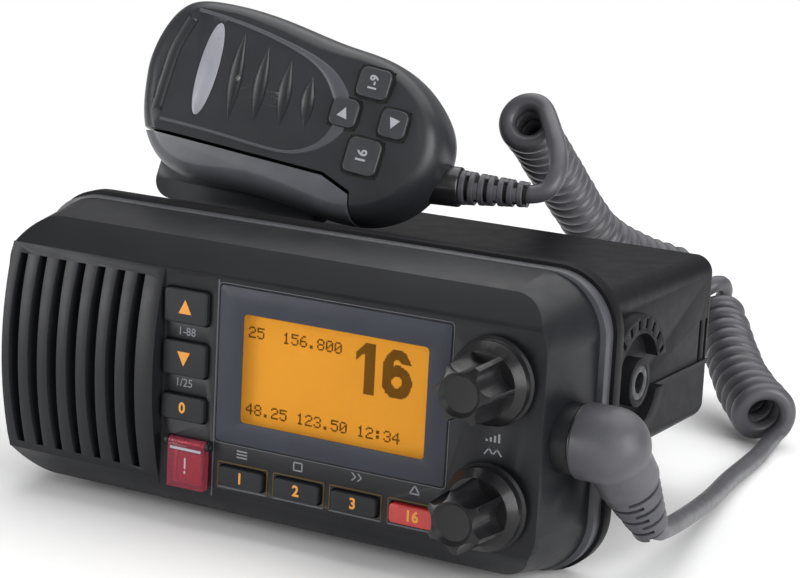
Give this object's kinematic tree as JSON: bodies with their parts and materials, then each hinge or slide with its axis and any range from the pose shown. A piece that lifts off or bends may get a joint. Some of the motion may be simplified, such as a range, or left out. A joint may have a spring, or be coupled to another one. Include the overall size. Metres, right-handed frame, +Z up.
{
  "type": "VHF marine radio",
  "caption": "Fixed-mount VHF marine radio with speaker grille, lit display, keys and knobs, and a hand microphone on a curly cord resting on top.",
  "frame": {"origin": "middle of the radio and microphone, without the cord, on the surface that they stand on", "axes": "+X right and +Y to the rear, seen from the front; +Z up"},
  "size_m": [0.2031, 0.2658, 0.1386],
  "materials": {
    "case_plastic": "fine satin texture",
    "window_clear": "clear gloss",
    "lcd": "amber, lit from behind",
    "light_guide": "satin",
    "key_rubber": "matte",
    "red_key_plastic": "gloss",
    "flap_clear": "clear red gloss",
    "steel": "satin",
    "board": "satin",
    "knob_plastic": "semi-gloss",
    "cloth": "woven",
    "speaker_steel": "satin",
    "paper": "matte",
    "gasket_rubber": "satin",
    "chassis_paint": "satin black",
    "brass_nickel": "bright",
    "can": "satin",
    "mic_plastic": "fine satin texture",
    "ptt_rubber": "satin",
    "label": "satin",
    "cord_rubber": "semi-gloss"
  },
  "bodies": {
    "radio": {"front_bezel": "case_plastic", "display_window": "window_clear", "lcd_glass": "lcd", "backlight": "light_guide", "keypad_mat": "key_rubber", "front_board": "board", "flap_pin": "steel", "volume_pot": "steel", "squelch_pot": "steel", "pot_nuts": "steel", "grille_cloth": "cloth", "speaker_frame": "speaker_steel", "speaker_cone": "paper", "speaker_magnet": "steel", "mic_socket": "case_plastic", "bezel_gasket": "gasket_rubber", "rear_chassis": "chassis_paint", "bracket_inserts": "brass_nickel", "main_board": "board", "rf_module": "can", "board_screws": "steel", "case_screws": "steel", "antenna_connector": "brass_nickel", "power_gland": "cord_rubber", "accessory_gland": "cord_rubber", "plug_body": "cord_rubber", "plug_ring": "cord_rubber", "plug_relief": "cord_rubber", "cord_tail": "cord_rubber", "cord_coil": "cord_rubber"},
    "up_key": {"key_up": "key_rubber"},
    "down_key": {"key_down": "key_rubber"},
    "enter_key": {"key_enter": "key_rubber"},
    "first_key": {"key_one": "key_rubber"},
    "second_key": {"key_two": "key_rubber"},
    "third_key": {"key_three": "key_rubber"},
    "sixteen_key": {"key_sixteen": "key_rubber"},
    "red_key": {"distress_key": "red_key_plastic"},
    "flap": {"distress_flap": "flap_clear"},
    "volume": {"volume_knob": "knob_plastic", "volume_shaft": "steel"},
    "squelch": {"squelch_knob": "knob_plastic", "squelch_shaft": "steel"},
    "microphone": {"mic_front_shell": "mic_plastic", "mic_rear_shell": "mic_plastic", "mic_label_plate": "label", "mic_board": "board", "mic_capsule": "steel", "ptt_switch": "key_rubber", "mic_screws": "steel", "mic_hanger_stud": "mic_plastic", "mic_collar": "mic_plastic", "mic_relief": "cord_rubber", "cord_lead": "cord_rubber"},
    "mic_scan": {"mic_key_scan": "key_rubber"},
    "mic_up": {"mic_key_up": "key_rubber"},
    "mic_down": {"mic_key_down": "key_rubber"},
    "mic_sixteen": {"mic_key_sixteen": "key_rubber"},
    "talk_bar": {"ptt_button": "ptt_rubber"}
  },
  "joints": [
    {"name": "up_press", "type": "slide", "parent": "radio", "child": "up_key", "axis": [0, 1, 0], "range_m": [0, 0.0008], "stiffness_N_per_m": 400, "springref_m": -0.001},
    {"name": "down_press", "type": "slide", "parent": "radio", "child": "down_key", "axis": [0, 1, 0], "range_m": [0, 0.0008], "stiffness_N_per_m": 400, "springref_m": -0.001},
    {"name": "enter_press", "type": "slide", "parent": "radio", "child": "enter_key", "axis": [0, 1, 0], "range_m": [0, 0.0008], "stiffness_N_per_m": 400, "springref_m": -0.001},
    {"name": "first_press", "type": "slide", "parent": "radio", "child": "first_key", "axis": [0, 1, 0], "range_m": [0, 0.0008], "stiffness_N_per_m": 400, "springref_m": -0.001},
    {"name": "second_press", "type": "slide", "parent": "radio", "child": "second_key", "axis": [0, 1, 0], "range_m": [0, 0.0008], "stiffness_N_per_m": 400, "springref_m": -0.001},
    {"name": "third_press", "type": "slide", "parent": "radio", "child": "third_key", "axis": [0, 1, 0], "range_m": [0, 0.0008], "stiffness_N_per_m": 400, "springref_m": -0.001},
    {"name": "sixteen_press", "type": "slide", "parent": "radio", "child": "sixteen_key", "axis": [0, 1, 0], "range_m": [0, 0.0008], "stiffness_N_per_m": 400, "springref_m": -0.001},
    {"name": "red_press", "type": "slide", "parent": "radio", "child": "red_key", "axis": [0, 1, 0], "range_m": [0, 0.0006], "stiffness_N_per_m": 400, "springref_m": -0.001},
    {"name": "flap_lift", "type": "hinge", "parent": "radio", "child": "flap", "pos_m": [-0.0213, -0.0616, 0.0246], "axis": [-1, 0, 0], "range_deg": [0, 110]},
    {"name": "volume_turn", "type": "hinge", "parent": "radio", "child": "volume", "pos_m": [0.072, -0.06, 0.0584], "axis": [0, -1, 0], "range_deg": [-150, 150]},
    {"name": "squelch_turn", "type": "hinge", "parent": "radio", "child": "squelch", "pos_m": [0.072, -0.06, 0.0246], "axis": [0, -1, 0], "range_deg": [-150, 150]},
    {"name": "mic_lift", "type": "slide", "parent": "radio", "child": "microphone", "axis": [0, 0, 1], "range_m": [0, 0.12]},
    {"name": "mic_scan_press", "type": "slide", "parent": "microphone", "child": "mic_scan", "axis": [-0.1977, 0.9303, -0.309], "range_m": [0, 0.0007], "stiffness_N_per_m": 400, "springref_m": -0.001},
    {"name": "mic_up_press", "type": "slide", "parent": "microphone", "child": "mic_up", "axis": [-0.1977, 0.9303, -0.309], "range_m": [0, 0.0007], "stiffness_N_per_m": 400, "springref_m": -0.001},
    {"name": "mic_down_press", "type": "slide", "parent": "microphone", "child": "mic_down", "axis": [-0.1977, 0.9303, -0.309], "range_m": [0, 0.0007], "stiffness_N_per_m": 400, "springref_m": -0.001},
    {"name": "mic_sixteen_press", "type": "slide", "parent": "microphone", "child": "mic_sixteen", "axis": [-0.1977, 0.9303, -0.309], "range_m": [0, 0.0007], "stiffness_N_per_m": 400, "springref_m": -0.001},
    {"name": "talk_press", "type": "slide", "parent": "microphone", "child": "talk_bar", "axis": [0.081, 0.3297, 0.9406], "range_m": [0, 0.0008], "stiffness_N_per_m": 800, "springref_m": -0.001}
  ]
}
